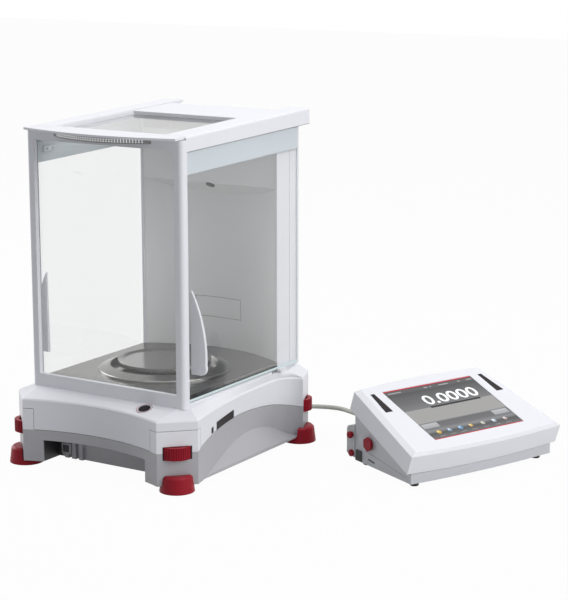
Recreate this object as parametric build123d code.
from build123d import *
import math
import os

os.makedirs("parts", exist_ok=True)

# Millimetres. While it is built, x runs to the right of the balance, y to its back and z up from the bench.
# The balance stands on the middle of its width, and the terminal stands to its right, turned.

# Overall sizes of the balance
overall_height = 351.5
base_width = 224.6
base_front_y = -135.0
base_rear_y = 121.0

# Shared clearances and small values
overrun = 5.0
face_gap = 0.3
running_gap = 0.05
slide_gap = 0.6
snug_gap = 0.15

# Plan of the base: four cut corners, hollow front and waisted sides
front_hollow = 17.0
front_chamfer = 29.0
rear_chamfer_x = 13.7
rear_chamfer_y = 33.0
waist_x = 91.2
waist_y = 62.0

# Heights of the base
tray_bottom_z = 6.5
split_z = 39.3
split_rise = 11.4
shoulder_z = 69.8
edge_z = 71.4
edge_round = 1.2
platform_z = 78.0

# Walls of the base
base_wall = 2.6
tray_floor = 2.6
cover_roof = 2.4

# Plan of the flat top of the cover
top_half_width = 96.0
top_front_y = -103.8
top_front_hollow = 0.8
top_chamfer = 9.0
top_waist_x = 90.6
top_rear_y = 116.0
top_rear_cut = 7.0

# Flared skirt under the arched scoop on each side
skirt_x = 108.0
skirt_root_x = 88.0
skirt_front_y = -101.0
skirt_rear_y = 88.0
skirt_lip = 1.6
skirt_lip_rise = 1.4
scoop_top_z = 36.0
skirt_end_walls = 4.5
seam_gap = 0.5
seam_depth = 1.2

# Dock recess in the front of the tray
dock_half_width = 64.0
dock_back_y = -101.0
dock_top_z = 29.0
dock_rib_width = 5.0
dock_rib_depth = 3.0
dock_rib_pitch = 9.0
dock_rib_count = 3

# Levelling feet, screws and wheels
foot_radius = 17.5
foot_top_radius = 15.6
foot_disc = 6.0
foot_height = 17.0
foot_slant = 2.0
foot_wall_gap = 0.8
front_foot = (94.5, -117.0)
rear_foot = (102.5, 97.0)
wheel_inset = 8.7
wheel_radius = 15.5
wheel_height = 12.6
wheel_z = 32.7
wheel_tooth = 0.8
wheel_teeth = 40
wheel_slot_half = 14.6
wheel_slot_gap = 0.5
screw_radius = 4.0
screw_top_z = 52.0
screw_seat = 2.0
boss_wall = 4.0

# Corner covers round the front wheels
corner_panel_x = 72.5
corner_panel_y = -98.8
corner_panel_top_z = 61.5
panel_gap = 0.5
panel_wall = 2.4

# Level bubble
level_x = 53.0
level_y = -112.2
level_radius = 6.3
level_ring_width = 1.9
level_depth = 9.0
level_proud = 0.4

# Sensor windows in the sides of the cover
window_front_y = -59.0
window_rear_y = -19.0
window_height = 8.6
square_front_y = -71.5
square_rear_y = -66.3
square_low = 1.2
square_height = 6.2
window_wall = 1.6

# Chamber floor, pan, draft ring
pad_half_width = 83.0
pad_front_y = -93.0
pad_rear_y = 70.0
pad_height = 8.3
plate_half_width = 86.4
plate_front_y = -93.8
plate_thickness = 1.2
plate_fold = 3.5
pan_y = -5.0
pan_radius = 47.5
pan_top_z = 98.0
pan_sheet = 1.6
pan_rim = 4.5
pan_rim_wall = 1.0
pan_dish = 1.6
pan_slope = 5.0
pan_lift = 60.0
ring_outer = 67.5
ring_inner = 55.0
ring_edge_height = 2.2
ring_wall = 1.2
ring_rise = 3.6
plate_hole = 16.0
support_disc = 20.0
support_disc_height = 3.0
support_shaft = 6.0
support_pin = 2.5
support_pin_height = 3.0
support_stroke = 1.0
cell_socket_depth = 8.0

# Front frame and its pane
frame_front_y = -103.6
frame_half_width = 95.0
frame_bottom_z = 77.5
frame_top_gap = 0.5
frame_plate = 5.0
frame_depth = 9.0
pillar_width = 9.5
pillar_wall = 5.5
frame_sill = 13.5
frame_head = 10.0
pillar_round = 4.5
pane_thickness = 3.0
pane_overlap = 3.0
pane_gap = 0.2

# Side doors
glass_outer_x = 90.0
glass_thickness = 3.0
door_front_y = -94.1
door_rear_y = 112.0
door_bottom_z = 81.0
door_top_drop = 18.5
track_height = 2.4
track_inner_x = 84.6
track_front_y = -94.0
door_travel = 138.0
strip_bottom_front_drop = 45.5
strip_bottom_rear_drop = 40.5
strip_thickness = 0.6
clip_y = -78.0
clip_length = 17.0
clip_height = 5.0
clip_thickness = 2.4
clip_top_drop = 29.5
clip_screw_radius = 1.5
clip_screw_head = 0.7
handle_front_y = -84.5
handle_reach = 17.0
handle_bottom_z = 109.0
handle_top_z = 192.5
handle_thickness = 3.8
handle_tip = 0.9
handle_corner = 5.0
handle_round = 1.0
handle_bulge_share = 0.77
handle_bulge_height_share = 0.615
guide_length = 9.0
guide_width = 3.6
guide_height = 4.0
guide_y = 80.0
guide_knob = 2.2

# Roof: everything here follows a plane that rises to the back
roof_slope = 2.0
roof_rear_y = 130.0
roof_front_y = -91.0
rail_outer_x = 93.6
rail_inner_x = 68.0
rail_front_drop = 15.0
rail_rear_drop = 16.5
rail_outer_wall = 2.4
rail_channel_inner_x = 85.2
rail_inner_wall = 3.2
rail_roof = 3.0
rail_round = 2.2
groove_depth = 4.0
groove_floor = 7.4
groove_top = 2.9
roof_beam_drop = 15.0
lip_half_width = 92.5
lip_ends_y = -110.0
lip_middle_y = -122.7
lip_thickness = 2.3
lip_seat = 5.0
vent_half_width = 60.0
vent_height = 5.5
vent_inset = 3.2
vent_hole = 0.8
vent_hole_pitch = 3.0
vent_hole_rows = 2
vent_hole_depth = 1.6
top_glass_thickness = 3.0
top_door_front_y = -89.6
top_door_rear_y = 105.0
top_door_travel = 112.0
top_door_margin = 2.4
window_back_y = 36.0
top_door_face = 0.5
top_door_rebate = 1.2

# Rear tower and chamber wall
tower_half_width = 86.0
tower_front_y = 76.0
tower_rear_y = 127.0
tower_wall = 2.6
tower_round = 8.0
tower_seam_drop = 39.5
tower_seam = 0.6
tower_bottom_z = 78.0
tower_top_clearance = 1.0
wall_side_y = 77.5
wall_middle_y = 101.0
wall_skin = 2.5
wall_half_width = 82.8
hood_low_drop = 94.5
hood_rise_share = 0.6
lamp_radius = 5.0
lamp_y = 80.0
lamp_thickness = 1.0

# Sockets on the back of the base
socket_z = 44.0
inlet_x = -62.0
inlet_width = 12.0
inlet_height = 12.0
inlet_depth = 14.0
inlet_pin = 1.4
serial_x = -24.0
serial_width = 31.0
serial_height = 12.5
serial_depth = 9.0
serial_face = 1.4
serial_flange = 5.6
usb_x = 12.0
usb_width = 12.0
usb_height = 11.0
usb_mouth = 8.5

# Weighing cell, magnet, calibration weight, board
cell_width = 38.0
cell_front_y = -26.0
cell_rear_y = 44.0
cell_top_z = 50.0
cell_foot = 3.0
cell_window_width = 40.0
cell_window_height = 20.0
cell_slot = 2.0
magnet_y = 72.0
magnet_radius = 22.0
magnet_height = 34.0
magnet_groove = 3.0
weight_x = 37.0
weight_y = 0.0
weight_radius = 9.0
weight_length = 26.0
weight_z = 36.0
weight_lift = 3.0
drive_width = 24.0
drive_length = 34.0
drive_height = 14.0
drive_fork = 3.0
board_x = -56.0
board_width = 44.0
board_front_y = -40.0
board_rear_y = 84.0
board_thickness = 1.6
board_standoff = 6.0
standoff_radius = 3.5
chip_height = 2.4
base_screw_radius = 2.0
base_screw_head = 3.6
base_screw_head_height = 2.2
base_screw_length = 9.0
base_screws = ((-78.0, -84.0), (78.0, -84.0), (-72.0, 108.0), (72.0, 108.0))

# Terminal: place on the bench, then sizes in its own frame, u to its right and v to its back
terminal_x = 278.4
terminal_y = 109.8
terminal_turn = 68.0
deck_tilt = 20.0
deck_z = 58.9
deck_rear_half = 84.5
deck_front_half = 99.0
deck_rear_w = 57.5
deck_front_w = -59.0
deck_rear_bulge = 3.5
deck_front_bulge = 4.5
deck_rim_drop = 3.4
deck_rim_side = 6.0
deck_rim_end = 2.2
bezel_depth = 23.5
bezel_wall = 2.4
screen_width = 118.0
screen_height = 89.5
screen_glass = 1.8
screen_recess = 0.5
display_margin = 2.0
display_depth = 8.0
eye_top_w = 44.4
eye_bottom_w = 11.5
eye_inner_u = 69.6
eye_top_width = 5.0
eye_bottom_width = 9.4
eye_thickness = 1.2
terminal_front_half = 93.0
terminal_rear_half = 85.0
terminal_front_v = -46.3
terminal_rear_v = 52.5
terminal_front_bulge = 4.2
terminal_bottom_z = 5.0
terminal_wall = 2.4
terminal_foot_radius = 4.5
terminal_foot_front_v = -37.5
terminal_foot_rear_v = 45.0
terminal_foot_inset = 11.0
terminal_foot_pocket = 1.5
terminal_board_z = 14.0
terminal_board_half = 60.0
terminal_post_radius = 4.0

# Rear dock bracket of the terminal, its knobs, grips and the hexagonal side buttons
bracket_half = 86.0
bracket_ear = 7.0
bracket_rear_v = 65.0
bracket_bottom_z = 7.5
bracket_bottom_rise = 3.0
bracket_top_z = 41.5
bracket_top_drop = 2.5
bracket_bar_z = 26.0
bracket_plate = 3.0
bracket_round = 5.0
knob_v = 56.5
knob_high_z = 31.0
knob_low_z = 11.5
knob_radius = 3.6
knob_proud = 2.6
knob_travel = 1.8
knob_stem = 2.4
knob_stem_length = 4.5
hex_v = 25.5
hex_z = 28.3
hex_flats = 13.0
hex_proud = 2.0
hex_travel = 1.6
hex_turn = 30.0
hex_stem = 5.0
hex_stem_length = 7.0
grip_front_v = 39.5
grip_length = 9.5
grip_bottom_z = 6.0
grip_height = 11.0
grip_proud = 2.0
grip_rib = 1.1
grip_ribs = 4

# Grey cable from the back of the base to the back of the terminal
cable_diameter = 5.0
cable_arc_share = 0.45
cable_exit_x = 30.0
cable_exit_z = 24.0
gland_radius = 4.6
gland_tip_radius = 3.6
gland_length = 12.0
gland_flange = 1.6
terminal_gland_u = -22.0
terminal_gland_z = 22.0
# Hand-chosen points of the cable on the bench, after the first exit and before the last
cable_route = (
    (30.0, 152.0, 24.0),
    (31.0, 170.0, 18.0),
    (34.5, 187.0, 9.5),
    (43.5, 203.5, 4.0),
    (59.0, 217.0, 2.8),
    (80.0, 221.5, 2.8),
    (102.0, 213.0, 2.8),
    (122.0, 204.0, 2.8),
    (140.0, 209.0, 2.8),
    (158.0, 218.5, 2.8),
    (180.0, 224.0, 2.8),
    (193.0, 218.0, 2.8),
    (201.0, 206.0, 2.8),
    (201.5, 191.5, 2.8),
    (193.5, 180.0, 2.8),
    (168.5, 169.0, 2.8),
    (161.0, 156.5, 2.8),
    (161.0, 142.0, 4.0),
    (169.0, 130.0, 9.0),
    (182.5, 125.2, 16.5),
)

half_width = base_width / 2
rail_front_y = frame_front_y + frame_depth + face_gap


def roof_height(y):
    """Height of the roof's sloping top at a place along y."""
    return overall_height - (roof_rear_y - y) * math.tan(math.radians(roof_slope))


frame_top_z = roof_height(frame_front_y) - lip_thickness - frame_top_gap
door_top_z = overall_height - door_top_drop
strip_bottom_front_z = overall_height - strip_bottom_front_drop
strip_bottom_rear_z = overall_height - strip_bottom_rear_drop
clip_top_z = overall_height - clip_top_drop
tower_seam_z = overall_height - tower_seam_drop
hood_low_z = overall_height - hood_low_drop
plate_z = platform_z + pad_height
floor_z = plate_z + plate_thickness
pan_low_z = pan_top_z - pan_dish - pan_sheet
support_top_z = pan_low_z - support_pin_height


def box(x0, x1, y0, y1, z0, z1):
    """Solid box between two opposite corners."""
    middle = Pos((x0 + x1) / 2, (y0 + y1) / 2, (z0 + z1) / 2)
    return middle * Box(abs(x1 - x0), abs(y1 - y0), abs(z1 - z0))


def post(x, y, z0, z1, radius):
    """Upright round solid."""
    return Pos(x, y, (z0 + z1) / 2) * Cylinder(radius, z1 - z0)


def cross_rod(x0, x1, y, z, radius):
    """Round solid that lies along x."""
    return Pos((x0 + x1) / 2, y, z) * Rot(0, 90, 0) * Cylinder(radius, abs(x1 - x0))


def polygon(points):
    return make_face(Polyline(*points, close=True))


def plan_prism(face, z0, z1):
    """Extrude a face of the plan from one height to another."""
    return extrude(Pos(0, 0, z0) * face, amount=z1 - z0)


def side_prism(face, x0, x1):
    """Extrude a face drawn in (y, z) from one x to another."""
    return extrude(Plane.YZ.offset(min(x0, x1)) * face, amount=abs(x1 - x0))


def mirrored(solid):
    """The same piece on the other side of the balance or of the terminal."""
    return mirror(solid, about=Plane.YZ)


def both_sides(solid):
    return Compound([solid, mirrored(solid)])


def waist_radius(waist, corner):
    """Radius of the side arc that leaves the waist along y and runs out to a corner."""
    dx = corner[0] - waist
    dy = corner[1] - waist_y
    return (dx * dx + dy * dy) / (2 * dx)


def drawn_in_corner(waist, corner, normal, inset):
    """Where the side arc and the cut corner meet once both are drawn in by an inset."""
    radius = waist_radius(waist, corner)
    centre = Vector(waist + radius, waist_y, 0)
    start = Vector(corner[0], corner[1], 0) - normal * inset
    along = normal.rotate(Axis.Z, 90)
    away = start - centre
    half_b = away.dot(along)
    c = away.dot(away) - (radius + inset) * (radius + inset)
    root = math.sqrt(half_b * half_b - c)
    steps = sorted((-half_b - root, -half_b + root), key=abs)
    place = start + along * steps[0]
    return place.X, place.Y


def side_arc(waist, corner, radius, inset):
    """Side arc from the waist to a corner, drawn in by an inset."""
    around = radius + inset
    rise = corner[1] - waist_y
    half_turn = math.asin(max(-1, min(1, rise / around))) / 2
    mid_x = waist - inset + around * (1 - math.cos(half_turn))
    mid_y = waist_y + around * math.sin(half_turn)
    return ThreePointArc((waist - inset, waist_y), (mid_x, mid_y), corner)


def waisted_plan(half, front, rear, hollow, chamfer, rear_cut_x, rear_cut_y, waist, inset):
    """Plan with cut corners, a hollow front and sides that draw in to a waist."""
    front_corner = (half, front + chamfer)
    rear_corner = (half, rear - rear_cut_y)
    front_out = Vector(1, -1, 0).normalized()
    rear_out = Vector(rear_cut_y, rear_cut_x, 0).normalized()
    side_front = drawn_in_corner(waist, front_corner, front_out, inset)
    side_rear = drawn_in_corner(waist, rear_corner, rear_out, inset)
    front_right = (half - chamfer - inset * (math.sqrt(2) - 1), front + inset)
    reach = rear_out.X * half + rear_out.Y * rear_corner[1] - inset
    rear_right = ((reach - rear_out.Y * (rear - inset)) / rear_out.X, rear - inset)
    right = [
        Line(front_right, side_front),
        side_arc(waist, side_front, waist_radius(waist, front_corner), inset),
        side_arc(waist, side_rear, waist_radius(waist, rear_corner), inset),
        Line(side_rear, rear_right),
    ]
    left = [mirror(edge, about=Plane.YZ) for edge in right]
    front_left = (-front_right[0], front_right[1])
    front_edge = ThreePointArc(front_left, (0, front + hollow + inset), front_right)
    rear_edge = Line(rear_right, (-rear_right[0], rear_right[1]))
    return make_face([front_edge, rear_edge] + right + left)


def base_plan(inset=0.0):
    """Outline of the base, drawn in by an inset all round."""
    return waisted_plan(
        half_width,
        base_front_y,
        base_rear_y,
        front_hollow,
        front_chamfer,
        rear_chamfer_x,
        rear_chamfer_y,
        waist_x,
        inset,
    )


def top_plan(inset=0.0):
    """Outline of the flat top of the cover, drawn in by an inset all round."""
    return waisted_plan(
        top_half_width,
        top_front_y,
        top_rear_y,
        top_front_hollow,
        top_chamfer,
        top_rear_cut,
        rear_chamfer_y,
        top_waist_x,
        inset,
    )


def above_split():
    """Everything above the line where tray and cover meet, which arches up along the sides."""
    front = base_front_y + front_chamfer
    rear = base_rear_y - rear_chamfer_y
    far_front = base_front_y - overrun
    far_rear = base_rear_y + overrun
    outline = [
        Line((far_front, split_z), (front, split_z)),
        ThreePointArc((front, split_z), ((front + rear) / 2, split_z + split_rise), (rear, split_z)),
        Line((rear, split_z), (far_rear, split_z)),
        Line((far_rear, split_z), (far_rear, overall_height)),
        Line((far_rear, overall_height), (far_front, overall_height)),
        Line((far_front, overall_height), (far_front, split_z)),
    ]
    return side_prism(make_face(outline), -half_width - overrun, half_width + overrun)


def split_height(y):
    """Height of the tray's upper edge at a place along the side."""
    front = base_front_y + front_chamfer
    rear = base_rear_y - rear_chamfer_y
    share = (y - (front + rear) / 2) / ((rear - front) / 2)
    return split_z + split_rise * max(0, 1 - share * share)


def skirt(wall=0.0):
    """Flared lower side: its straight foot and its arched top are joined by a ruled scoop."""
    front = skirt_front_y + skirt_end_walls * wall
    rear = skirt_rear_y - skirt_end_walls * wall
    middle = (front + rear) / 2
    low = tray_bottom_z + (tray_floor if wall else 0)
    lip = skirt_lip / 4 if wall else skirt_lip
    ends = low + lip

    def section(top, x):
        edges = [
            Line((front, low), (rear, low)),
            Line((rear, low), (rear, ends)),
            ThreePointArc((rear, ends), (middle, top), (front, ends)),
            Line((front, ends), (front, low)),
        ]
        return Plane.YZ.offset(x) * make_face(edges)

    rise = skirt_lip_rise / 4 if wall else skirt_lip_rise
    outer = section(ends + rise, skirt_x - wall)
    inner = section(scoop_top_z - wall, skirt_root_x - wall)
    return loft([outer, inner], ruled=True)


def corner_frame(sign_x, is_front):
    """Middle of a cut corner face, and the unit vector that points out of it."""
    if is_front:
        x = half_width - front_chamfer / 2
        y = base_front_y + front_chamfer / 2
        out = Vector(1, -1, 0).normalized()
    else:
        x = half_width - rear_chamfer_x / 2
        y = base_rear_y - rear_chamfer_y / 2
        out = Vector(rear_chamfer_y, rear_chamfer_x, 0).normalized()
    return Vector(sign_x * x, y, 0), Vector(sign_x * out.X, out.Y, 0)


def wheel_axis(sign_x, is_front):
    """Where a levelling wheel and its screw turn."""
    middle, out = corner_frame(sign_x, is_front)
    return middle - out * wheel_inset


def foot_place(sign_x, is_front):
    x, y = front_foot if is_front else rear_foot
    return sign_x * x, y


corners = {"fl": (-1, True), "fr": (1, True), "rl": (-1, False), "rr": (1, False)}


def wheel_slot(sign_x, is_front):
    """Slot through the cut corner, in which the levelling wheel shows."""
    middle, out = corner_frame(sign_x, is_front)
    angle = math.degrees(math.atan2(out.Y, out.X))
    inner = wheel_inset + overrun
    height = wheel_height + 2 * wheel_slot_gap
    slot = Pos((overrun - inner) / 2, 0, 0) * Box(inner + overrun, 2 * wheel_slot_half, height)
    return Pos(middle.X, middle.Y, wheel_z + wheel_height / 2) * Rot(0, 0, angle) * slot


def wheel_pocket(sign_x, is_front):
    """Room inside the housing in which the levelling wheel turns."""
    axis = wheel_axis(sign_x, is_front)
    low = wheel_z - wheel_slot_gap
    high = wheel_z + wheel_height + wheel_slot_gap
    return post(axis.X, axis.Y, low, high, wheel_radius + slide_gap)


def wheel_slots():
    """Slots and pockets of all four levelling wheels."""
    slots = [wheel_slot(*corner) for corner in corners.values()]
    return slots + [wheel_pocket(*corner) for corner in corners.values()]


def dock_bay(wall=0.0):
    """Recess for docking, open to the front and below, grown by a wall."""
    half = dock_half_width + wall
    front = base_front_y - overrun
    return box(-half, half, front, dock_back_y + wall, -overrun, dock_top_z + wall)


def dock_ribs():
    """Upright ribs at the left end of the recess, against its back wall."""
    ribs = []
    for index in range(dock_rib_count):
        left = -dock_half_width + dock_rib_pitch * (index + 1)
        rear = dock_back_y + base_wall / 2
        front = dock_back_y - dock_rib_depth
        ribs.append(box(left, left + dock_rib_width, front, rear, tray_bottom_z, dock_top_z + base_wall / 2))
    return ribs


def screw_bosses(grow=0.0):
    """Bosses in the tray under the wheels, or their bores."""
    bosses = []
    for corner in corners.values():
        axis = wheel_axis(*corner)
        radius = screw_radius + running_gap + (boss_wall if grow else 0)
        low = tray_bottom_z - (0 if grow else overrun)
        high = wheel_z - face_gap + (0 if grow else overrun)
        bosses.append(post(axis.X, axis.Y, low, high, radius))
    return bosses


def base_tray():
    body = plan_prism(base_plan(), tray_bottom_z, shoulder_z)
    body = body + skirt() + mirrored(skirt()) - above_split()
    hollow = plan_prism(base_plan(base_wall), tray_bottom_z + tray_floor, shoulder_z)
    inner_skirt = skirt(base_wall)
    hollow = hollow + inner_skirt + mirrored(inner_skirt) - dock_bay(base_wall)
    body = body - hollow + screw_bosses(boss_wall) - wheel_slots() - dock_bay()
    body = body + dock_ribs()
    floor = tray_bottom_z + tray_floor
    for x, y in board_posts():
        body = body + post(x, y, floor - tray_floor / 2, floor + board_standoff, standoff_radius)
    for x, y in base_screws:
        body = body + post(x, y, tray_bottom_z, floor + base_screw_head, base_screw_head)
        body = body - post(x, y, -overrun, shoulder_z, base_screw_radius + snug_gap)
        body = body - post(x, y, -overrun, tray_bottom_z + base_screw_head_height, base_screw_head + snug_gap)
    gland = Pos(cable_exit_x, base_rear_y, cable_exit_z) * Rot(90, 0, 0)
    body = body - gland * Cylinder(gland_tip_radius + snug_gap, 4 * base_wall)
    return body - screw_bosses()


def cover_block(inset, low_z, drop):
    """Solid form of the cover: upright walls, a small edge and a crowned top."""
    walls = plan_prism(base_plan(inset), low_z, shoulder_z)
    lower = Pos(0, 0, shoulder_z) * base_plan(inset)
    edge = Pos(0, 0, edge_z) * base_plan(inset + edge_round)
    top = Pos(0, 0, platform_z - drop) * top_plan(inset)
    return walls + loft([lower, edge], ruled=True) + loft([edge, top], ruled=True)


def frame_footprint(gap):
    """Space that the front frame takes in the top of the cover."""
    half = frame_half_width + gap
    rear = frame_front_y + frame_depth + gap
    return box(-half, half, frame_front_y - gap, rear, frame_bottom_z, overall_height)


def door_tracks():
    """Low ridges on which the side doors run."""
    low = platform_z - cover_roof / 2
    ridge = box(track_inner_x, top_waist_x - face_gap, track_front_y, waist_y, low, platform_z + track_height)
    return ridge + mirrored(ridge)


def floor_pad(wall=0.0):
    """Raised pad that carries the chamber's floor plate, or its hollow under a wall."""
    half = pad_half_width - wall
    low = split_z if wall else platform_z - cover_roof / 2
    return box(-half, half, pad_front_y + wall, pad_rear_y - wall, low, plate_z - wall)


def split_groove():
    """Shadow line where the cover meets the tray."""
    layer = above_split() - Pos(0, 0, seam_gap) * above_split()
    return layer - plan_prism(base_plan(seam_depth), 0, overall_height)


def corner_panel_space(gap):
    """Corner of the cover's wall that the corner cover fills, less a gap."""
    x0 = corner_panel_x + gap
    y1 = corner_panel_y - gap
    top = corner_panel_top_z - gap
    return box(x0, half_width + overrun, base_front_y - overrun, y1, split_z - overrun, top)


def corner_panels():
    shell = plan_prism(base_plan(), split_z, corner_panel_top_z)
    shell = shell - plan_prism(base_plan(panel_wall), split_z - overrun, shoulder_z)
    panel = (shell & corner_panel_space(panel_gap) & above_split()) - wheel_slot(1, True)
    return both_sides(panel)


def side_wall_slice(front, rear, low, high):
    """Piece of the side wall between two places and above the split line by two amounts."""
    face = polygon(
        (
            (front, split_height(front) + low),
            (rear, split_height(rear) + low),
            (rear, split_height(rear) + high),
            (front, split_height(front) + high),
        )
    )
    return side_prism(face, waist_x - 2 * base_wall, half_width + overrun)


def window_places():
    return [
        (window_front_y, window_rear_y, 0, window_height),
        (square_front_y, square_rear_y, square_low, square_height + square_low),
    ]


def side_windows():
    """Dark windows flush in both sides of the cover."""
    top = shoulder_z
    wall = plan_prism(base_plan(), tray_bottom_z, top) - plan_prism(base_plan(window_wall), 0, top + overrun)
    panes = []
    for place in window_places():
        pane = (wall & side_wall_slice(*place)) & above_split()
        panes += [pane, mirrored(pane)]
    return panes


def level_frame():
    """Place of the level bubble, square to the crown of the cover."""
    share = level_x / (half_width - front_chamfer)
    edge_y = base_front_y + front_hollow * (1 - share * share) + edge_round
    slope = math.degrees(math.atan2(platform_z - edge_z, top_front_y - edge_y))
    z = edge_z + (level_y - edge_y) * math.tan(math.radians(slope))
    return Pos(level_x, level_y, z) * Rot(slope, 0, 0)


def level_vial():
    height = level_depth + level_proud
    return level_frame() * Pos(0, 0, level_proud - height / 2) * Cylinder(level_radius, height)


def level_ring():
    outer = level_radius + level_ring_width
    height = level_depth / 2 + level_proud
    ring = Cylinder(outer, height) - Cylinder(level_radius, height)
    return level_frame() * Pos(0, 0, level_proud - height / 2) * ring


def level_hole():
    outer = level_radius + level_ring_width
    height = level_depth / 2 + overrun
    seat = Pos(0, 0, (overrun - level_depth / 2) / 2) * Cylinder(outer, height)
    well = Cylinder(level_radius, 4 * level_depth)
    return level_frame() * (seat + well)


def socket_openings():
    """Holes in the back wall of the cover for the sockets."""
    rear = base_rear_y + overrun
    front = base_rear_y - 2 * base_wall
    holes = []
    for x, width, height in socket_sizes():
        holes.append(box(x - width / 2, x + width / 2, front, rear, socket_z, socket_z + height))
    return holes


def socket_sizes():
    return [
        (inlet_x, inlet_width, inlet_height),
        (serial_x, serial_width, serial_height),
        (usb_x, usb_width, usb_height),
    ]


def base_cover():
    body = cover_block(0.0, tray_bottom_z, 0.0) & above_split()
    body = body - cover_block(base_wall, 0.0, cover_roof)
    body = body + door_tracks() + floor_pad() - floor_pad(base_wall) - split_groove()
    pan_hole = support_shaft + 2 * slide_gap
    body = body - post(0, pan_y, split_z, overall_height, pan_hole)
    body = body - frame_footprint(0) - corner_panel_space(0) - mirrored(corner_panel_space(0))
    body = body - wheel_slots() - level_hole() - socket_openings()
    for place in window_places():
        cut = side_wall_slice(*place)
        body = body - [cut, mirrored(cut)]
    return body


def foot(sign_x, is_front):
    """Foot: a low disc under the housing and a crescent wall outside its corner."""
    x, y = foot_place(sign_x, is_front)
    upper = foot_height - foot_slant
    outline = polygon(
        (
            (0, 0),
            (foot_radius, 0),
            (foot_top_radius, upper),
            (foot_top_radius - foot_slant, foot_height),
            (0, foot_height),
        )
    )
    cone = Pos(x, y, 0) * revolve(Plane.XZ * outline, axis=Axis.Z)
    housing = plan_prism(base_plan(-foot_wall_gap), foot_disc, foot_height + overrun)
    side = skirt_x + foot_wall_gap
    front = skirt_front_y - foot_wall_gap
    flare = box(-side, side, front, skirt_rear_y + foot_wall_gap, foot_disc, overall_height)
    axis = wheel_axis(sign_x, is_front)
    socket = post(axis.X, axis.Y, foot_disc - screw_seat, foot_height, screw_radius)
    return cone - housing - flare - socket


def foot_screw(sign_x, is_front):
    axis = wheel_axis(sign_x, is_front)
    return post(axis.X, axis.Y, foot_disc - screw_seat, screw_top_z, screw_radius)


def level_wheel(sign_x, is_front):
    """Ribbed levelling wheel with a bored hub."""
    axis = wheel_axis(sign_x, is_front)
    root = wheel_radius - wheel_tooth
    wheel = Cylinder(wheel_radius, wheel_height)
    notch = Pos(wheel_radius, 0, 0) * Cylinder(wheel_tooth, wheel_height + overrun)
    notches = [Rot(0, 0, 360 * index / wheel_teeth) * notch for index in range(wheel_teeth)]
    wheel = wheel - notches - Cylinder(screw_radius + running_gap, wheel_height + overrun)
    cup = Cylinder(root - boss_wall, wheel_height / 2) - Cylinder(screw_radius + boss_wall, wheel_height)
    wheel = wheel - Pos(0, 0, wheel_height / 2) * cup
    return Pos(axis.X, axis.Y, wheel_z + wheel_height / 2) * wheel


def wall_arc(offset=0.0):
    """Curved line of the chamber's back wall in plan, pushed back by an offset."""
    half = wall_half_width
    side_y = wall_side_y + offset
    return ThreePointArc((-half, side_y), (0, wall_middle_y + offset), (half, side_y))


def region_before(offset, front, half):
    """Plan region in front of the curved wall."""
    arc = wall_arc(offset)
    side_y = wall_side_y + offset
    line = Polyline(arc @ 1, (half, side_y), (half, front), (-half, front), (-half, side_y), arc @ 0)
    return make_face([arc, line])


def floor_plate():
    """Steel plate with both sides folded down."""
    half = plate_half_width - face_gap
    plan = region_before(-face_gap, plate_front_y, half)
    plate = plan_prism(plan, plate_z, floor_z)
    fold_rear = tower_front_y - 2 * face_gap
    fold = box(half - plate_thickness, half, plate_front_y, fold_rear, plate_z - plate_fold, floor_z)
    plate = plate + fold + mirrored(fold)
    plate = plate - frame_footprint(face_gap) - post(0, pan_y, 0, overall_height, plate_hole)
    column = tower_half_width - tower_wall - face_gap
    side = box(column, plate_half_width, tower_front_y - face_gap, base_rear_y, 0, overall_height)
    return plate - side - mirrored(side)


def draft_ring():
    """Wide conical ring on the floor plate, which rises to its inner edge round the pan."""
    edge = ring_edge_height
    top = edge + ring_rise
    outline = polygon(
        (
            (ring_outer, 0),
            (ring_outer, edge - ring_wall / 2),
            (ring_outer - ring_wall / 2, edge),
            (ring_inner + ring_wall, top),
            (ring_inner + ring_wall / 2, top),
            (ring_inner, top - ring_wall / 2),
            (ring_inner, 0),
            (ring_inner + ring_wall, 0),
            (ring_inner + ring_wall, top - ring_wall),
            (ring_outer - ring_wall, edge - ring_wall),
            (ring_outer - ring_wall, 0),
        )
    )
    return Pos(0, pan_y, floor_z) * revolve(Plane.XZ * outline, axis=Axis.Z)


def pan():
    """Round pan: a flat dish with a raised edge that is turned down outside."""
    outer = pan_radius
    inner = outer - pan_rim_wall
    flat = inner - pan_slope
    rim_low = pan_top_z - pan_rim
    well = pan_low_z + pan_sheet
    outline = polygon(
        (
            (0, pan_low_z),
            (flat, pan_low_z),
            (inner, pan_top_z - pan_sheet),
            (inner, rim_low),
            (outer, rim_low),
            (outer, pan_top_z),
            (inner, pan_top_z),
            (flat, well),
            (0, well),
        )
    )
    disc = revolve(Plane.XZ * outline, axis=Axis.Z)
    hub_radius = support_pin + running_gap + pan_rim_wall
    hub = post(0, 0, support_top_z, pan_low_z, hub_radius)
    hub = hub - post(0, 0, support_top_z - overrun, pan_low_z - face_gap, support_pin + running_gap)
    return Pos(0, pan_y, 0) * (disc + hub)


def pan_support():
    """Shaft from the weighing cell with the disc and pin that carry the pan."""
    pin_top = pan_low_z - 2 * face_gap
    body = post(0, pan_y, cell_top_z - cell_socket_depth + 2 * support_stroke, support_top_z, support_shaft)
    body = body + post(0, pan_y, support_top_z - support_disc_height, support_top_z, support_disc)
    return body + post(0, pan_y, support_top_z, pin_top, support_pin)


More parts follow.
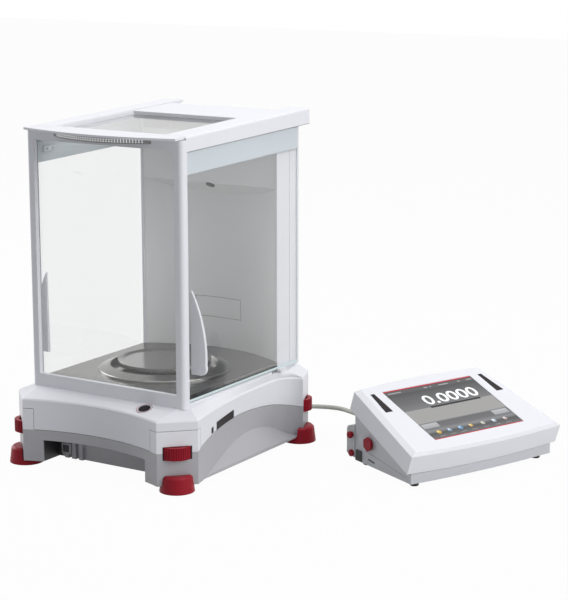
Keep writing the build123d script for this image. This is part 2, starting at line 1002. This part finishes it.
def front_frame():
    """Window frame: two pillars, a sill and a head, open in the middle."""
    half = frame_half_width
    inner = half - pillar_width
    rear = frame_front_y + frame_depth
    plate_rear = frame_front_y + frame_plate
    sill_top = frame_bottom_z + frame_sill
    head_low = frame_top_z - frame_head
    outline = RectangleRounded(2 * half, 2 * frame_depth, pillar_round)
    body = extrude(outline, amount=frame_top_z - frame_bottom_z)
    body = Pos(0, frame_front_y + frame_depth, frame_bottom_z) * body
    body = body & box(-half, half, frame_front_y, rear, frame_bottom_z, frame_top_z)
    body = body - box(-inner, inner, frame_front_y - overrun, rear + overrun, sill_top, head_low)
    behind = half - pillar_wall
    low = sill_top - pane_overlap - pane_gap
    high = head_low + pane_overlap + pane_gap
    return body - box(-behind, behind, plate_rear, rear + overrun, low, high)


def front_glass():
    half = frame_half_width - pillar_width + pane_overlap
    low = frame_bottom_z + frame_sill - pane_overlap
    high = frame_top_z - frame_head + pane_overlap
    front = frame_front_y + frame_plate + pane_gap
    return box(-half, half, front, front + pane_thickness, low, high)


def door_glass():
    inner = glass_outer_x - glass_thickness
    return box(inner, glass_outer_x, door_front_y, door_rear_y, door_bottom_z, door_top_z)


def door_hanger():
    """Frosted strip on the outside of the glass, and the clip with two screws inside it."""
    face = polygon(
        (
            (door_front_y, strip_bottom_front_z),
            (door_rear_y, strip_bottom_rear_z),
            (door_rear_y, door_top_z),
            (door_front_y, door_top_z),
        )
    )
    strip = side_prism(face, glass_outer_x, glass_outer_x + strip_thickness)
    inner = glass_outer_x - glass_thickness
    front = clip_y - clip_length / 2
    rear = clip_y + clip_length / 2
    clip = box(inner - clip_thickness, inner, front, rear, clip_top_z - clip_height, clip_top_z)
    face_x = inner - clip_thickness
    screw_z = clip_top_z - clip_height / 2
    for y in (clip_y - clip_length / 4, clip_y + clip_length / 4):
        clip = clip + cross_rod(face_x - clip_screw_head, face_x, y, screw_z, clip_screw_radius)
    return Compound([strip, clip])


def door_handle():
    """Fin that stands out from the glass: straight along the glass, curved outside, thin at its tip."""
    root = glass_outer_x
    outer = root + handle_reach
    height = handle_top_z - handle_bottom_z
    bulge = (root + handle_reach * handle_bulge_share, handle_bottom_z + height * handle_bulge_height_share)
    low = (outer, handle_bottom_z + 2 * handle_corner)
    under = (outer - handle_corner, handle_bottom_z)
    round_corner = (outer - handle_corner / 4, handle_bottom_z + 2 * handle_corner / 4)
    tip = (root + handle_tip, handle_top_z)
    edges = [
        Line((root, handle_bottom_z), (root, handle_top_z)),
        Line((root, handle_top_z), tip),
        ThreePointArc(tip, bulge, low),
        ThreePointArc(low, round_corner, under),
        Line(under, (root, handle_bottom_z)),
    ]
    depth = 2 * handle_thickness
    fin = extrude(Plane.XZ.offset(-handle_front_y) * make_face(edges), amount=depth, both=True)
    rear = handle_front_y + handle_thickness
    middle = handle_front_y + handle_thickness / 3
    taper = polygon(
        (
            (handle_front_y, handle_bottom_z - overrun),
            (rear, handle_bottom_z - overrun),
            (middle + handle_tip, handle_top_z + overrun),
            (middle - handle_tip, handle_top_z + overrun),
        )
    )
    fin = fin & side_prism(taper, root - overrun, outer + overrun)
    face = fin.faces().sort_by(Axis.Y)[0]
    rim = [edge for edge in face.edges() if edge.center().X > root + handle_tip]
    return chamfer(rim, handle_round / 2)


def door_guides():
    """Small blocks beside the tracks that steer the doors, with a dark knob each."""
    front = guide_y - guide_length / 2
    low = platform_z
    inner = glass_outer_x + slide_gap
    block = box(inner, inner + guide_width, front, front + guide_length, low, platform_z + guide_height)
    outer = inner + guide_width + guide_knob / 2
    knob = cross_rod(inner, outer, front - guide_knob, platform_z + guide_knob, guide_knob)
    return both_sides(block + knob)


roof = Pos(0, roof_rear_y, overall_height) * Rot(roof_slope, 0, 0)
roof_length = (roof_rear_y - rail_front_y) / math.cos(math.radians(roof_slope))


def along_roof(y):
    """Distance along the sloping roof, from its rear end, of a place given by its y."""
    return (y - roof_rear_y) / math.cos(math.radians(roof_slope))


def rail_solid(x0, x1, front_drop, rear_drop, y0=rail_front_y, y1=roof_rear_y):
    """Bar under the roof plane whose lower edge may slope against it."""
    face = polygon(
        (
            (along_roof(y0), 0),
            (along_roof(y1), 0),
            (along_roof(y1), -rear_drop),
            (along_roof(y0), -front_drop),
        )
    )
    return side_prism(face, x0, x1)


def roof_rails():
    """Both side rails with the beam that joins them at the back."""
    rail = rail_solid(rail_inner_x, rail_outer_x, rail_front_drop, rail_rear_drop)
    rear_end = along_roof(roof_rear_y)
    front_end = along_roof(rail_front_y)
    top_edge = rail.edges().filter_by(Axis.Y).group_by(Axis.X)[-1].sort_by(Axis.Z)[-1]
    rail = fillet(top_edge, rail_round)
    deep = rail_rear_drop + overrun
    outer_channel = rail_outer_x - rail_outer_wall
    far = roof_length + overrun
    rail = rail - box(rail_channel_inner_x, outer_channel, -far, rear_end + overrun, -deep, -rail_roof)
    inner_face = rail_channel_inner_x - rail_inner_wall
    inside = rail_inner_x - overrun
    rail = rail - box(inside, inner_face, -far, rear_end + overrun, -deep, -groove_floor - rail_roof)
    groove = rail_inner_x + groove_depth
    rail = rail - box(inside, groove, -far, rear_end + overrun, -groove_floor, -groove_top)
    beam_front = along_roof(tower_rear_y - 4 * tower_wall)
    beam = box(-groove, groove, beam_front, along_roof(tower_rear_y), -roof_beam_drop, -groove_floor)
    stop = box(rail_inner_x, inner_face, front_end, front_end + face_gap, -groove_floor, -groove_top)
    return roof * (rail + mirrored(rail) + beam + stop + mirrored(stop))


def roof_front():
    """Front of the roof: a thin lip over the window, thicker where it sits between the rails."""
    half = lip_half_width
    rear = along_roof(roof_front_y) - face_gap
    ends = along_roof(lip_ends_y)
    bulge = ThreePointArc((-half, ends), (0, along_roof(lip_middle_y)), (half, ends))
    edges = [bulge, Polyline((half, ends), (half, rear), (-half, rear), (-half, ends))]
    plate = Pos(0, 0, -lip_thickness) * extrude(make_face(edges), amount=lip_thickness)
    between = rail_inner_x - face_gap
    block_front = along_roof(rail_front_y)
    rail_room = box(between, half + overrun, block_front - face_gap, rear + overrun, -overrun, overrun)
    plate = plate - rail_room - mirrored(rail_room)
    block = box(-between, between, block_front, rear, -lip_thickness - lip_seat, -lip_thickness / 2)
    return roof * (plate + block)


def front_vent():
    """Perforated crescent under the lip, in front of the window's head."""
    chord_y = along_roof(frame_front_y)
    bulge = along_roof(lip_middle_y) + vent_inset
    half = vent_half_width
    arc = ThreePointArc((-half, chord_y), (0, bulge), (half, chord_y))
    face = make_face([arc, Line((half, chord_y), (-half, chord_y))])
    crescent = Pos(0, 0, -lip_thickness - vent_height) * extrude(face, amount=vent_height)
    count = int(half * 2 / vent_hole_pitch)
    holes = []
    for index in range(count):
        share = (index + 1) / (count + 1)
        spot = arc @ share
        inward = (arc % share).rotate(Axis.Z, 90)
        if abs(spot.Y - chord_y) > 2 * vent_hole_depth:
            for row in range(vent_hole_rows):
                z = -lip_thickness - vent_height * (row + 1) / (vent_hole_rows + 1)
                place = Location(Plane(origin=(spot.X, spot.Y, z), z_dir=inward))
                holes.append(place * Cylinder(vent_hole, 2 * vent_hole_depth))
    crescent = crescent - holes
    head = frame_front_y
    return (roof * crescent) & box(-half, half, base_front_y, head, 0, overall_height)


def top_door_frame():
    """White carrier of the top door: a thin rim round the window and a wide rear panel."""
    half = rail_inner_x - slide_gap
    front = along_roof(top_door_front_y)
    rear = along_roof(top_door_rear_y)
    low = -groove_floor + face_gap
    body = box(-half, half, front, rear, low, -top_door_face)
    hole = half - top_door_margin
    hole_front = front + top_door_margin
    hole_rear = along_roof(window_back_y)
    body = body - box(-hole, hole, hole_front, hole_rear, low - overrun, overrun)
    seat = hole + top_door_rebate
    glass_top = low + top_glass_thickness
    body = body - box(-seat, seat, hole_front - top_door_rebate, hole_rear + overrun, low - overrun, glass_top)
    hollow_front = hole_rear + overrun + top_door_margin
    hollow_top = -top_door_face - top_door_margin
    body = body - box(-hole, hole, hollow_front, rear - top_door_margin, low - overrun, hollow_top)
    tongue = half + groove_depth - slide_gap
    tongue_top = -groove_top - face_gap
    wing = box(half - top_door_rebate / 2, tongue, front, rear, low, tongue_top)
    return roof * (body + wing + mirrored(wing))


def top_door_glass():
    half = rail_inner_x - slide_gap - top_door_margin + top_door_rebate
    front = along_roof(top_door_front_y) + top_door_margin - top_door_rebate
    rear = along_roof(window_back_y) + overrun
    low = -groove_floor + face_gap
    return roof * box(-half, half, front, rear, low, low + top_glass_thickness)


def rear_tower():
    """Housing behind the chamber: a U of side columns and back, closed on top."""
    half = tower_half_width
    length = tower_rear_y - tower_front_y
    top = overall_height - roof_beam_drop - tower_top_clearance
    height = top - tower_bottom_z
    outline = RectangleRounded(2 * half, 2 * length, tower_round)
    inner = RectangleRounded(2 * (half - tower_wall), 2 * (length - tower_wall), tower_round - tower_wall)
    body = Pos(0, tower_front_y, tower_bottom_z) * extrude(outline, amount=height)
    body = body & box(-half, half, tower_front_y, tower_rear_y, 0, overall_height)
    hollow = Pos(0, tower_front_y, tower_bottom_z) * extrude(inner, amount=height - tower_wall)
    body = body - hollow
    reach = half + overrun
    slope_cut = roof * box(-reach, reach, -2 * roof_length, overrun, -roof_beam_drop - face_gap, roof_length)
    column = rail_channel_inner_x - rail_inner_wall - face_gap
    rail_cut = roof * box(column, reach, -2 * roof_length, overrun, -rail_rear_drop - face_gap, roof_length)
    seam_front = tower_front_y - overrun
    seam = box(-reach, reach, seam_front, tower_rear_y + overrun, tower_seam_z, tower_seam_z + tower_seam)
    inner_half = half - tower_wall / 2
    seam = seam - box(-inner_half, inner_half, 0, tower_rear_y - tower_wall / 2, 0, overall_height)
    return body - slope_cut - rail_cut - mirrored(rail_cut) - seam


def hood_height(y):
    """Underside of the sloping hood at a place along y."""
    return hood_low_z + hood_rise_share * (wall_middle_y - y)


def chamber_back():
    """Curved chamber wall, the hood that slopes forward over it and the header above."""
    front = tower_front_y + face_gap
    half = tower_half_width - tower_wall - face_gap
    top = overall_height - roof_beam_drop - 2 * tower_wall - rail_inner_wall - overrun
    rear = wall_middle_y + wall_skin
    shell = region_before(wall_skin, front, half)
    room = plan_prism(region_before(0, front - overrun, half + overrun), 0, overall_height)
    wall = plan_prism(shell, floor_z, top) - room
    skin = wall_skin / math.cos(math.atan(hood_rise_share))
    front_top = hood_height(front) + skin
    rear_top = hood_height(rear) + skin
    low_side = polygon(((front, 0), (rear, 0), (rear, rear_top), (front, front_top)))
    wall = wall & side_prism(low_side, -half, half)
    hood_face = polygon(
        (
            (front, hood_height(front)),
            (rear, hood_height(rear)),
            (rear, rear_top),
            (front + wall_skin, hood_height(front + wall_skin) + skin),
            (front + wall_skin, top),
            (front, top),
        )
    )
    hood = side_prism(hood_face, -half, half) & plan_prism(shell, 0, overall_height)
    return wall + hood


def lamp_lens():
    """Small lamp window flush in the sloping hood."""
    angle = -math.degrees(math.atan(hood_rise_share))
    place = Pos(0, lamp_y, hood_height(lamp_y)) * Rot(angle, 0, 0)
    return place * Pos(0, 0, -lamp_thickness / 2) * Cylinder(lamp_radius, lamp_thickness)


def rear_sockets():
    """Power inlet, serial socket and data socket, set in the back wall."""
    rear = base_rear_y - base_wall / 2
    low = socket_z + snug_gap
    inlet_half = inlet_width / 2 - snug_gap
    inlet_high = low + inlet_height - 2 * snug_gap
    inlet = box(inlet_x - inlet_half, inlet_x + inlet_half, rear - inlet_depth, rear, low, inlet_high)
    middle_z = socket_z + inlet_height / 2
    bore = Pos(inlet_x, rear, middle_z) * Rot(90, 0, 0) * Cylinder(inlet_half - inlet_pin, inlet_depth)
    pin = Pos(inlet_x, rear - inlet_depth / 4, middle_z) * Rot(90, 0, 0) * Cylinder(inlet_pin, inlet_depth / 2)
    inlet = inlet - bore + pin
    serial_half = serial_width / 2 - snug_gap
    serial_high = low + serial_height - 2 * snug_gap
    serial = box(serial_x - serial_half, serial_x + serial_half, rear - serial_depth, rear, low, serial_high)
    mouth = serial_half - serial_flange
    recess_low = low + 2 * serial_face
    recess_high = serial_high - 2 * serial_face
    recess_front = rear - serial_depth / 2
    recess = box(serial_x - mouth, serial_x + mouth, recess_front, rear + overrun, recess_low, recess_high)
    tongue_half = mouth - serial_face
    tongue_low = (recess_low + recess_high) / 2 - serial_face
    tongue_high = tongue_low + 2 * serial_face
    x0 = serial_x - tongue_half
    x1 = serial_x + tongue_half
    tongue = box(x0, x1, recess_front - serial_face, rear - serial_face, tongue_low, tongue_high)
    usb_half = usb_width / 2 - snug_gap
    usb_high = low + usb_height - 2 * snug_gap
    usb = box(usb_x - usb_half, usb_x + usb_half, rear - inlet_depth, rear, low, usb_high)
    usb_in = usb_mouth / 2
    middle_usb = socket_z + usb_height / 2
    mouth_low = middle_usb - usb_in
    mouth_high = middle_usb + usb_in
    usb = usb - box(usb_x - usb_in, usb_x + usb_in, rear - serial_depth, rear + overrun, mouth_low, mouth_high)
    return Compound([inlet, serial - recess + tongue, usb])


def load_cell():
    """Weighing cell milled from one block, standing on two feet, with a socket for the pan support."""
    floor = tray_bottom_z + tray_floor
    half = cell_width / 2
    block = box(-half, half, cell_front_y, cell_rear_y, floor + cell_foot, cell_top_z)
    middle_y = (cell_front_y + cell_rear_y) / 2 + cell_foot
    window_low = floor + cell_foot + (cell_top_z - floor - cell_window_height) / 3
    window_high = window_low + cell_window_height
    window_front = middle_y - cell_window_width / 2 + cell_socket_depth
    across = half + overrun
    window_rear = middle_y + cell_window_width / 2
    block = block - box(-across, across, window_front, window_rear, window_low, window_high)
    slot_y = cell_front_y + 2 * cell_socket_depth + cell_foot + cell_slot
    block = block - box(-across, across, slot_y, slot_y + cell_slot, floor, window_high)
    foot_length = (cell_rear_y - cell_front_y) / 4
    foot_block = box(-half, half, cell_rear_y - foot_length, cell_rear_y, floor, floor + cell_foot + snug_gap)
    socket = post(0, pan_y, cell_top_z - cell_socket_depth, cell_top_z + overrun, support_shaft + running_gap)
    return block + foot_block - socket


def coil_magnet():
    """Round magnet system behind the cell, with the ring gap for its coil."""
    floor = tray_bottom_z + tray_floor
    body = post(0, magnet_y, floor, floor + magnet_height, magnet_radius)
    middle = magnet_radius / 2
    gap = post(0, magnet_y, floor + magnet_height / 2, floor + magnet_height + overrun, middle + magnet_groove)
    gap = gap - post(0, magnet_y, floor, floor + magnet_height + overrun, middle)
    return body - gap


def calibration_weight():
    x0 = weight_x - weight_length / 2 + weight_radius
    return Pos(x0, weight_y, weight_z) * Rot(90, 0, 0) * Cylinder(weight_radius, weight_length)


def calibration_drive():
    """Lifting gear under the calibration weight: a motor box and two forks."""
    floor = tray_bottom_z + tray_floor
    x = weight_x - weight_length / 2 + weight_radius
    half = drive_width / 2
    reach = drive_length / 2
    low = weight_z - weight_radius - face_gap
    body = box(x - half, x + half, weight_y - reach, weight_y + reach, floor, floor + drive_height)
    for side in (-1, 1):
        y = weight_y + side * (weight_length / 2 - drive_fork)
        body = body + box(x - half / 2, x + half / 2, y - drive_fork / 2, y + drive_fork / 2, floor, low)
    return body


def board_posts():
    inset = 2 * standoff_radius
    xs = (board_x - board_width / 2 + inset, board_x + board_width / 2 - inset)
    ys = (board_front_y + inset, board_rear_y - inset)
    return [(x, y) for x in xs for y in ys]


def main_board():
    """Circuit board on four posts, with its larger parts."""
    low = tray_bottom_z + tray_floor + board_standoff
    x0 = board_x - board_width / 2
    x1 = board_x + board_width / 2
    top = low + board_thickness
    board = box(x0, x1, board_front_y, board_rear_y, low, top)
    length = (board_rear_y - board_front_y) / 6
    for index in range(4):
        y = board_front_y + length * (index + 1)
        chip_top = top + chip_height * (1 + index / 2)
        board = board + box(x0 + length / 2, x1 - length / 2, y, y + length / 2, top, chip_top)
    return board


def screws_under_base():
    """Screws that join tray and cover from below."""
    screws = []
    for x, y in base_screws:
        low = tray_bottom_z
        head = post(x, y, low, low + base_screw_head_height, base_screw_head)
        head = head - Pos(x, y, low) * Box(base_screw_radius / 2, 2 * base_screw_radius, base_screw_radius)
        shank = post(x, y, low + base_screw_head_height, low + base_screw_length, base_screw_radius)
        screws.append(head + shank)
    return Compound(screws)


terminal = Pos(terminal_x, terminal_y, 0) * Rot(0, 0, terminal_turn)
deck = Pos(0, 0, deck_z) * Rot(deck_tilt, 0, 0)


def deck_plan(side=0.0, end=0.0):
    """Outline of the terminal's deck, drawn in at its sides and at its ends."""
    rear = deck_rear_w - end
    front = deck_front_w + end
    rear_half = deck_rear_half - side
    front_half = deck_front_half - side
    edges = [
        ThreePointArc((-rear_half, rear), (0, rear + deck_rear_bulge), (rear_half, rear)),
        Line((rear_half, rear), (front_half, front)),
        ThreePointArc((front_half, front), (0, front - deck_front_bulge), (-front_half, front)),
        Line((-front_half, front), (-rear_half, rear)),
    ]
    return make_face(edges)


def screen_opening(grow, low, high):
    half = screen_width / 2 + grow
    length = screen_height / 2 + grow
    return box(-half, half, -length, length, low, high)


def eye_face(grow=0.0):
    """Outline of the right-hand sensor window on the deck."""
    inner = eye_inner_u - grow
    top = eye_top_w + grow
    low = eye_bottom_w - grow
    return polygon(
        (
            (inner, top),
            (inner + eye_top_width + 2 * grow, top),
            (inner + eye_bottom_width + 2 * grow, low),
            (inner, low),
        )
    )


def terminal_bezel():
    """White bezel: deck with a sloping rim, open under it."""
    low = -bezel_depth
    rim = -deck_rim_drop
    body = Pos(0, 0, low) * extrude(deck_plan(), amount=bezel_depth - deck_rim_drop)
    crown = loft([Pos(0, 0, rim) * deck_plan(), deck_plan(deck_rim_side, deck_rim_end)], ruled=True)
    body = body + crown
    under = -deck_rim_drop - bezel_wall
    hollow = extrude(deck_plan(bezel_wall, bezel_wall), amount=overrun + bezel_depth + under)
    hollow = Pos(0, 0, low - overrun) * hollow
    body = body - hollow - screen_opening(snug_gap, under - overrun, overrun)
    eye = Pos(0, 0, -eye_thickness) * extrude(eye_face(), amount=eye_thickness + overrun)
    return terminal * deck * (body - eye - mirrored(eye))


def terminal_eyes():
    eye = Pos(0, 0, -eye_thickness) * extrude(eye_face(), amount=eye_thickness)
    return [terminal * deck * eye, terminal * deck * mirrored(eye)]


def touch_screen():
    return terminal * deck * screen_opening(0, -screen_recess - screen_glass, -screen_recess)


def display_module():
    top = -deck_rim_drop - bezel_wall
    neck = screen_opening(-display_margin, top, -screen_recess - screen_glass)
    return terminal * deck * (screen_opening(display_margin, top - display_depth, top) + neck)


def tray_plan(inset=0.0):
    """Outline of the terminal's tray, drawn in by an inset."""
    front = terminal_front_v + inset
    rear = terminal_rear_v - inset
    front_half = terminal_front_half - inset
    rear_half = terminal_rear_half - inset
    edges = [
        ThreePointArc((-front_half, front), (0, front - terminal_front_bulge), (front_half, front)),
        Line((front_half, front), (rear_half, rear)),
        Line((rear_half, rear), (-rear_half, rear)),
        Line((-rear_half, rear), (-front_half, front)),
    ]
    return make_face(edges)


def tray_side(v):
    """Half width of the terminal's tray at a place along v."""
    share = (v - terminal_front_v) / (terminal_rear_v - terminal_front_v)
    return terminal_front_half + (terminal_rear_half - terminal_front_half) * share


side_lean = math.degrees(
    math.atan2(terminal_front_half - terminal_rear_half, terminal_rear_v - terminal_front_v)
)


def side_pose(v, z):
    """Frame on the tray's right side: its x axis points out of the side wall."""
    return Pos(tray_side(v), v, z) * Rot(0, 0, side_lean)


def under_bezel(drop=0.0):
    """Everything below the bezel's lower edge, in the terminal's frame."""
    reach = 4 * deck_front_half
    return deck * box(-reach, reach, -reach, reach, -reach, -bezel_depth - drop)


def terminal_feet_places():
    return [
        (side * (tray_side(v) - terminal_foot_inset), v)
        for side in (-1, 1)
        for v in (terminal_foot_front_v, terminal_foot_rear_v)
    ]


def terminal_tray():
    """Grey tray of the terminal, closed below, with posts for the board."""
    low = terminal_bottom_z
    body = plan_prism(tray_plan(), low, 2 * deck_z) & under_bezel()
    hollow = plan_prism(tray_plan(terminal_wall), low + terminal_wall, 3 * deck_z)
    body = body - hollow
    for u, v in terminal_feet_places():
        body = body - post(u, v, -overrun, low + terminal_foot_pocket, terminal_foot_radius + snug_gap)
    for u in (-terminal_board_half / 2, terminal_board_half / 2):
        body = body + post(u, 0, low, terminal_board_z, terminal_post_radius)
    hex_hole = side_pose(hex_v, hex_z) * Rot(0, 90, 0) * Cylinder(hex_stem + snug_gap, 4 * terminal_wall)
    body = body - hex_hole - mirrored(hex_hole)
    gland_bore = Rot(90, 0, 0) * Cylinder(gland_tip_radius + snug_gap, 4 * terminal_wall)
    return terminal * (body - Pos(terminal_gland_u, terminal_rear_v, terminal_gland_z) * gland_bore)


def terminal_feet():
    low = terminal_bottom_z + terminal_foot_pocket
    pads = []
    for u, v in terminal_feet_places():
        pad = Pos(u, v, 0) * extrude(Circle(terminal_foot_radius), amount=low)
        pads.append(chamfer(pad.edges().group_by(Axis.Z)[0], terminal_foot_pocket / 2))
    return terminal * Compound(pads)


def terminal_board():
    top = terminal_board_z + board_thickness
    half = terminal_board_half
    length = terminal_rear_v / 2
    board = box(-half, half, -length, length, terminal_board_z, top)
    board = board + box(-half / 2, half / 4, -length / 2, length / 2, top, top + chip_height)
    return terminal * board


def hexagon_face(flats):
    """Hexagon with a corner up, drawn across its flats, facing along x."""
    return Plane.YZ * RegularPolygon(flats / 2, 6, major_radius=False, rotation=hex_turn)


def hex_button(sign):
    """Red side button: hexagonal head and a round stem through the tray."""
    gap = hex_travel + face_gap
    head = Pos(gap, 0, 0) * extrude(hexagon_face(hex_flats), amount=hex_proud)
    stem = cross_rod(-hex_stem_length, gap, 0, 0, hex_stem)
    button = side_pose(hex_v, hex_z) * (head + stem)
    return terminal * (button if sign > 0 else mirrored(button))


def dock_bracket():
    """Bracket behind the terminal: two ears and a low bar, screwed to the tray's back."""
    rear = bracket_rear_v
    front = terminal_rear_v
    inner = bracket_half - bracket_ear
    side = polygon(
        (
            (front, bracket_bottom_z),
            (rear, bracket_bottom_z + bracket_bottom_rise),
            (rear, bracket_top_z - bracket_top_drop),
            (front, bracket_top_z),
        )
    )
    ear = side_prism(side, inner, bracket_half)
    top_edge = ear.edges().filter_by(Axis.X).group_by(Axis.Y)[-1].sort_by(Axis.Z)[-1]
    ear = fillet(top_edge, bracket_round)
    for z in (knob_high_z, knob_low_z):
        ear = ear - cross_rod(inner + bracket_ear / 3, bracket_half + overrun, knob_v, z, knob_stem + snug_gap)
    bar = box(-inner, inner, rear - bracket_plate, rear, bracket_bottom_z + bracket_bottom_rise, bracket_bar_z)
    reach = terminal_rear_half - bracket_ear
    arm = box(reach - bracket_ear, reach, front, rear - bracket_plate, bracket_bottom_z, bracket_bar_z)
    notch = gland_radius + gland_flange
    low = terminal_gland_z - notch
    passage = box(terminal_gland_u - notch, terminal_gland_u + notch, front, rear + overrun, low, bracket_top_z)
    return terminal * (ear + mirrored(ear) + bar + arm + mirrored(arm) - passage)


def knob(z, gap):
    """Round red knob on the outer face of a bracket ear, with its stem in the ear."""
    start = bracket_half + gap
    head = cross_rod(start, start + knob_proud, knob_v, z, knob_radius)
    stem = cross_rod(start - knob_stem_length, start, knob_v, z, knob_stem)
    return chamfer(head.edges().group_by(Axis.X)[-1], knob_proud / 4) + stem


def release_knob(sign):
    button = knob(knob_high_z, knob_travel + face_gap)
    return terminal * (button if sign > 0 else mirrored(button))


def bracket_caps():
    """Lower red caps of the bracket, which don't move."""
    return terminal * both_sides(knob(knob_low_z, 0))


def ribbed_grips():
    """Black ribbed pads low on both sides, near the back."""
    middle = grip_front_v + grip_length / 2
    z = grip_bottom_z + grip_height / 2
    pad = Pos(grip_proud / 4, 0, 0) * Box(grip_proud / 2, grip_length, grip_height)
    pitch = grip_length / grip_ribs
    for index in range(grip_ribs):
        offset = (index + 1 / 2) * pitch - grip_length / 2
        pad = pad + Pos(grip_proud / 2, offset, 0) * Box(grip_proud, grip_rib, grip_height)
    pad = pad & box(0, grip_proud, -grip_length, grip_length, -grip_height, grip_height)
    return terminal * both_sides(side_pose(middle, z) * pad)


def gland(length):
    """Tapered strain relief that leaves a wall along -y of its own frame turned to the back."""
    bore = cable_diameter / 2
    tip = base_wall
    outline = polygon(
        (
            (0, -2 * tip),
            (gland_tip_radius, -2 * tip),
            (gland_tip_radius, 0),
            (gland_radius, 0),
            (gland_radius, gland_flange),
            (gland_tip_radius, gland_flange),
            (bore + face_gap, length),
            (0, length),
        )
    )
    return Rot(-90, 0, 0) * revolve(Plane.XZ * outline, axis=Axis.Z)


def base_gland():
    return Pos(cable_exit_x, base_rear_y, cable_exit_z) * gland(gland_length)


def terminal_gland():
    return terminal * Pos(terminal_gland_u, terminal_rear_v, terminal_gland_z) * gland(gland_length)


def cable_points():
    """All points of the cable, from the tip of one gland to the tip of the other."""
    start = Vector(cable_exit_x, base_rear_y + gland_length, cable_exit_z)
    tip = terminal * Pos(terminal_gland_u, terminal_rear_v + gland_length, terminal_gland_z)
    lead_v = terminal_rear_v + gland_length + 3 * cable_diameter
    lead = terminal * Pos(terminal_gland_u, lead_v, terminal_gland_z)
    return [start] + [Vector(*point) for point in cable_route] + [lead.position, tip.position]


def cable_radii(points):
    """Largest arc at each corner that its two runs allow."""
    radii = []
    for before, corner, after in zip(points, points[1:], points[2:]):
        first = corner - before
        second = after - corner
        turn = math.radians(first.get_angle(second))
        radii.append(cable_arc_share * min(first.length, second.length) / math.tan(turn / 2))
    return radii


def cable():
    """Round cable of straight runs joined by tangent arcs."""
    points = cable_points()
    radii = cable_radii(points)
    path = FilletPolyline(*points, radius=radii)
    start = Plane(origin=points[0], z_dir=points[1] - points[0])
    tube = sweep(start * Circle(cable_diameter / 2), path=path)
    section = math.pi * cable_diameter * cable_diameter / 4
    print("cable length", round(path.length, 1))
    print("cable volume", round(tube.volume), "of", round(section * path.length))
    print("cable radii", [round(radius, 1) for radius in radii])
    return tube


nodes = {
    "base_tray": base_tray(),
    "base_cover": base_cover(),
    "corner_panels": corner_panels(),
    "sensor_windows": Compound(side_windows() + terminal_eyes()),
    "level_vial": level_vial(),
    "level_ring": level_ring(),
    "floor_plate": floor_plate(),
    "draft_ring": draft_ring(),
    "pan": pan(),
    "pan_support": pan_support(),
    "front_frame": front_frame(),
    "front_glass": front_glass(),
    "door_guides": door_guides(),
    "roof_rails": roof_rails(),
    "roof_front": roof_front(),
    "front_vent": front_vent(),
    "top_door_frame": top_door_frame(),
    "top_door_glass": top_door_glass(),
    "rear_tower": rear_tower(),
    "chamber_back": chamber_back(),
    "lamp_lens": lamp_lens(),
    "rear_sockets": rear_sockets(),
    "load_cell": load_cell(),
    "coil_magnet": coil_magnet(),
    "calibration_weight": calibration_weight(),
    "calibration_drive": calibration_drive(),
    "circuit_boards": Compound([main_board(), terminal_board()]),
    "base_screws": screws_under_base(),
    "door_glass_right": door_glass(),
    "door_glass_left": mirrored(door_glass()),
    "door_hanger_right": door_hanger(),
    "door_hanger_left": mirrored(door_hanger()),
    "door_handle_right": door_handle(),
    "door_handle_left": mirrored(door_handle()),
    "terminal_tray": terminal_tray(),
    "terminal_bezel": terminal_bezel(),
    "touch_screen": touch_screen(),
    "display_module": display_module(),
    "terminal_feet": terminal_feet(),
    "hex_button_left": hex_button(-1),
    "hex_button_right": hex_button(1),
    "dock_bracket": dock_bracket(),
    "release_knob_left": release_knob(-1),
    "release_knob_right": release_knob(1),
    "bracket_caps": bracket_caps(),
    "ribbed_grips": ribbed_grips(),
    "cable_glands": Compound([base_gland(), terminal_gland()]),
    "cable": cable(),
}
for corner_name, corner in corners.items():
    nodes["foot_" + corner_name] = foot(*corner)
    nodes["foot_screw_" + corner_name] = foot_screw(*corner)
    nodes["level_wheel_" + corner_name] = level_wheel(*corner)

# The whole part is moved so that its origin is under the middle of its box, the cable left out
boxes = [node.bounding_box() for name, node in nodes.items() if name != "cable"]
left_x = min(limits.min.X for limits in boxes)
right_x = max(limits.max.X for limits in boxes)
front_y = min(limits.min.Y for limits in boxes)
rear_y = max(limits.max.Y for limits in boxes)
shift = Vector(-(left_x + right_x) / 2, -(front_y + rear_y) / 2, 0)
print("shift", shift.X, shift.Y)
for corner_name, corner in corners.items():
    axis_point = wheel_axis(*corner) + shift
    print("wheel", corner_name, axis_point.X, axis_point.Y)
print("level", level_frame().position + shift)
print("travel of the doors", door_travel, top_door_travel, "and of the pan", pan_lift)
print("travel of weight", weight_lift, "buttons", hex_travel, "and knobs", knob_travel)
for sign in (-1, 1):
    direction = terminal * Rot(0, 0, sign * side_lean) * Pos(sign, 0, 0)
    out = direction.position - terminal.position
    print("hex axis", sign, out.X, out.Y)

for name, node in nodes.items():
    export_step(Pos(shift.X, shift.Y, shift.Z) * node, os.path.join("parts", name + ".step"))
print(len(nodes), "nodes")
